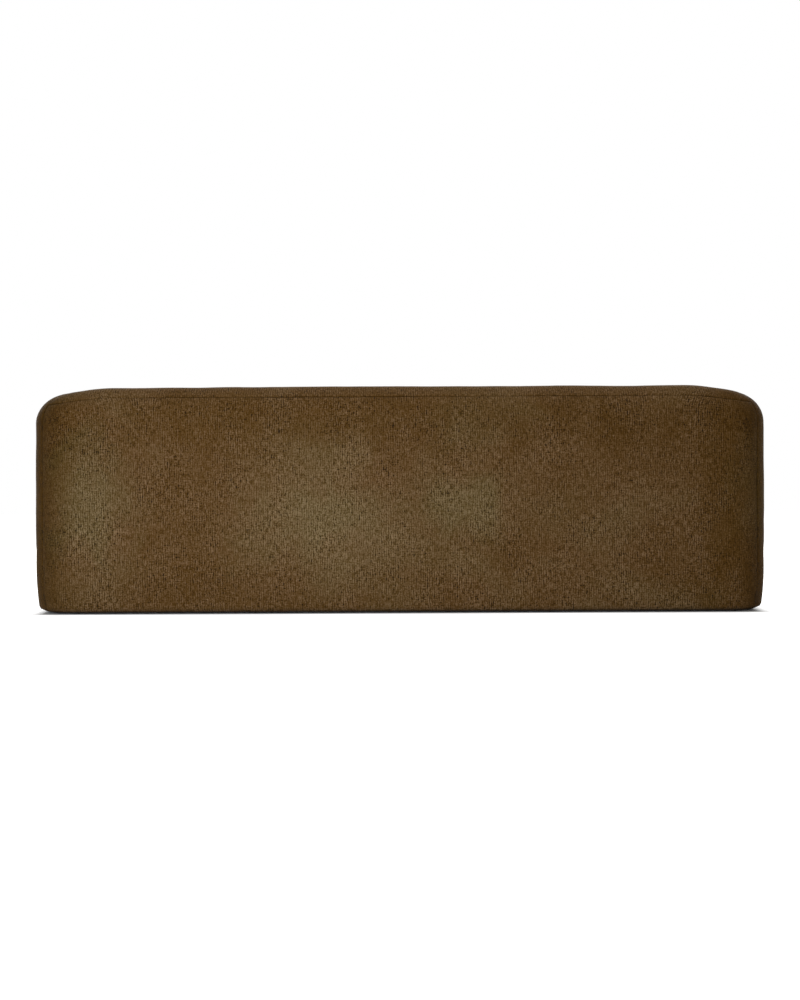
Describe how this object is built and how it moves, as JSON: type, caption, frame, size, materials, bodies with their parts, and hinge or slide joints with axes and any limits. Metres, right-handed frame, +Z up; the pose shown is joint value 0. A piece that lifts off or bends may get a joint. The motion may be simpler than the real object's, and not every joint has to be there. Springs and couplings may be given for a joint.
{
  "type": "three-seater sofa",
  "caption": "Low block sofa with arms as high as its back, soft rounded corners, loose seat and back cushions and a sprung seat in a cloth-covered frame.",
  "frame": {"origin": "on the floor, under the middle of the sofa's box", "axes": "+X along the seat, to the right for someone who stands in front of the sofa and looks at it, +Y from the front to the outside back, +Z up"},
  "size_m": [2.3, 0.95, 0.705],
  "materials": {
    "upholstery_cloth": "brushed chenille",
    "cushion_cloth": "brushed chenille",
    "platform_cloth": "plain woven cloth",
    "dust_cloth": "spunbonded cloth",
    "foam": "open-cell foam",
    "fibre": "carded fibre",
    "felt": "needled felt",
    "webbing": "woven elastic",
    "softwood": "planed",
    "plywood": "sawn",
    "fibreboard": "smooth",
    "spring_steel": "drawn wire",
    "zinc_steel": "zinc plated",
    "glide_plastic": "moulded"
  },
  "bodies": {
    "frame": {"outside_back_cover": "upholstery_cloth", "back_cover": "upholstery_cloth", "left_arm_cover": "upholstery_cloth", "right_arm_cover": "upholstery_cloth", "front_border_cover": "upholstery_cloth", "deck_cover": "platform_cloth", "dust_cover": "dust_cloth", "back_foam": "foam", "left_arm_foam": "foam", "right_arm_foam": "foam", "front_border_foam": "foam", "deck_pad": "foam", "insulator_felt": "felt", "spring_tie_wires": "spring_steel", "seat_springs_left": "spring_steel", "seat_springs_centre": "spring_steel", "seat_springs_right": "spring_steel", "spring_clips": "zinc_steel", "base_front_rail": "softwood", "base_rear_rail": "softwood", "base_end_rails": "softwood", "base_cross_rails": "softwood", "corner_blocks": "softwood", "back_ribs": "plywood", "back_rails": "softwood", "back_top_board": "plywood", "back_outer_board": "fibreboard", "back_webbing": "webbing", "left_arm_inner_panel": "plywood", "left_arm_outer_board": "fibreboard", "left_arm_end_boards": "plywood", "left_arm_front_panel": "plywood", "left_arm_posts": "softwood", "left_arm_formers": "plywood", "right_arm_inner_panel": "plywood", "right_arm_outer_board": "fibreboard", "right_arm_end_boards": "plywood", "right_arm_front_panel": "plywood", "right_arm_posts": "softwood", "right_arm_formers": "plywood", "arm_bolts": "zinc_steel", "arm_tee_nuts": "zinc_steel", "floor_glides": "glide_plastic", "glide_screws": "zinc_steel"},
    "seat_cushion_left": {"seat_cushion_left_cover": "cushion_cloth", "seat_cushion_left_wrap": "fibre", "seat_cushion_left_foam": "foam"},
    "back_cushion_left": {"back_cushion_left_cover": "cushion_cloth", "back_cushion_left_fill": "fibre"},
    "seat_cushion_centre": {"seat_cushion_centre_cover": "cushion_cloth", "seat_cushion_centre_wrap": "fibre", "seat_cushion_centre_foam": "foam"},
    "back_cushion_centre": {"back_cushion_centre_cover": "cushion_cloth", "back_cushion_centre_fill": "fibre"},
    "seat_cushion_right": {"seat_cushion_right_cover": "cushion_cloth", "seat_cushion_right_wrap": "fibre", "seat_cushion_right_foam": "foam"},
    "back_cushion_right": {"back_cushion_right_cover": "cushion_cloth", "back_cushion_right_fill": "fibre"}
  },
  "joints": [
    {"name": "seat_cushion_left_lift", "type": "slide", "parent": "frame", "child": "seat_cushion_left", "axis": [0, 0, 1], "range_m": [0, 0.48]},
    {"name": "seat_cushion_centre_lift", "type": "slide", "parent": "frame", "child": "seat_cushion_centre", "axis": [0, 0, 1], "range_m": [0, 0.48]},
    {"name": "seat_cushion_right_lift", "type": "slide", "parent": "frame", "child": "seat_cushion_right", "axis": [0, 0, 1], "range_m": [0, 0.48]},
    {"name": "back_cushion_left_lift", "type": "slide", "parent": "seat_cushion_left", "child": "back_cushion_left", "axis": [0, 0, 1], "range_m": [0, 0.34]},
    {"name": "back_cushion_centre_lift", "type": "slide", "parent": "seat_cushion_centre", "child": "back_cushion_centre", "axis": [0, 0, 1], "range_m": [0, 0.34]},
    {"name": "back_cushion_right_lift", "type": "slide", "parent": "seat_cushion_right", "child": "back_cushion_right", "axis": [0, 0, 1], "range_m": [0, 0.34]}
  ]
}
